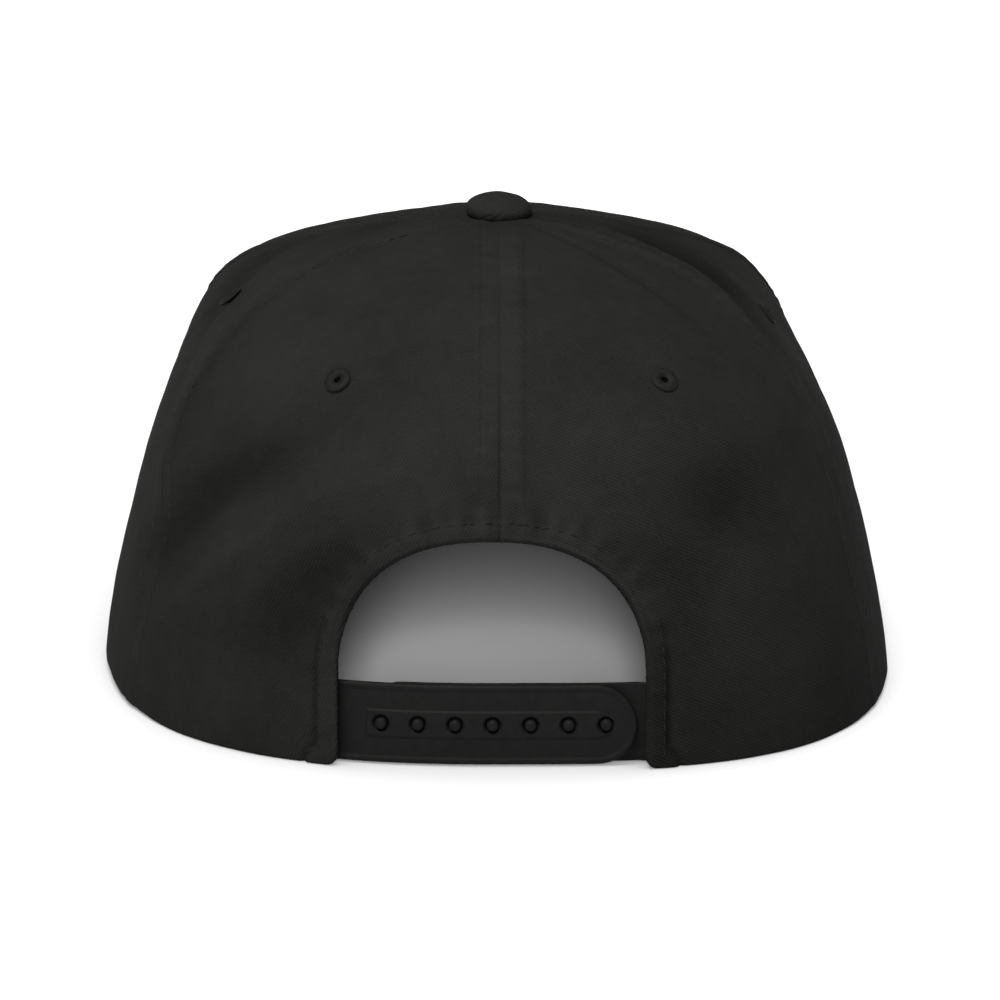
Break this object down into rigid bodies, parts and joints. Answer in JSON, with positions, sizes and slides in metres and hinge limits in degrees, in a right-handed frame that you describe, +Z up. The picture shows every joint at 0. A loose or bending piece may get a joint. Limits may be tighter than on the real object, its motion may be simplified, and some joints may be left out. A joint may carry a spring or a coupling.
{
  "type": "snapback cap",
  "caption": "Black cotton snapback cap with panelled crown, flat visor, covered button, worked eyelets and a pegged plastic strap across the rear arch.",
  "frame": {"origin": "middle of the cap's footprint, on the floor that the hem stands on", "axes": "+Y the way the visor points, +Z up, +X to the right of someone who looks at the back"},
  "size_m": [0.178, 0.257, 0.1043],
  "materials": {
    "crown_twill": "matt brushed black cotton twill",
    "visor_twill": "matt black cotton twill over a stiff board, sewn in rows",
    "button_twill": "black cotton twill drawn over a metal button",
    "eyelet_thread": "black polyester thread with a slight sheen",
    "sweatband_cloth": "plain black cotton",
    "strap_plastic": "satin moulded black plastic"
  },
  "bodies": {
    "root": {"back_panel_right": "crown_twill", "side_panel_right": "crown_twill", "front_panel_right": "crown_twill", "front_panel_left": "crown_twill", "side_panel_left": "crown_twill", "back_panel_left": "crown_twill", "eyelet_back_right": "eyelet_thread", "eyelet_side_right": "eyelet_thread", "eyelet_front_right": "eyelet_thread", "eyelet_front_left": "eyelet_thread", "eyelet_side_left": "eyelet_thread", "eyelet_back_left": "eyelet_thread", "button": "button_twill", "strap_left": "strap_plastic", "strap_right": "strap_plastic", "sweatband": "sweatband_cloth", "visor": "visor_twill"}
  },
  "joints": []
}
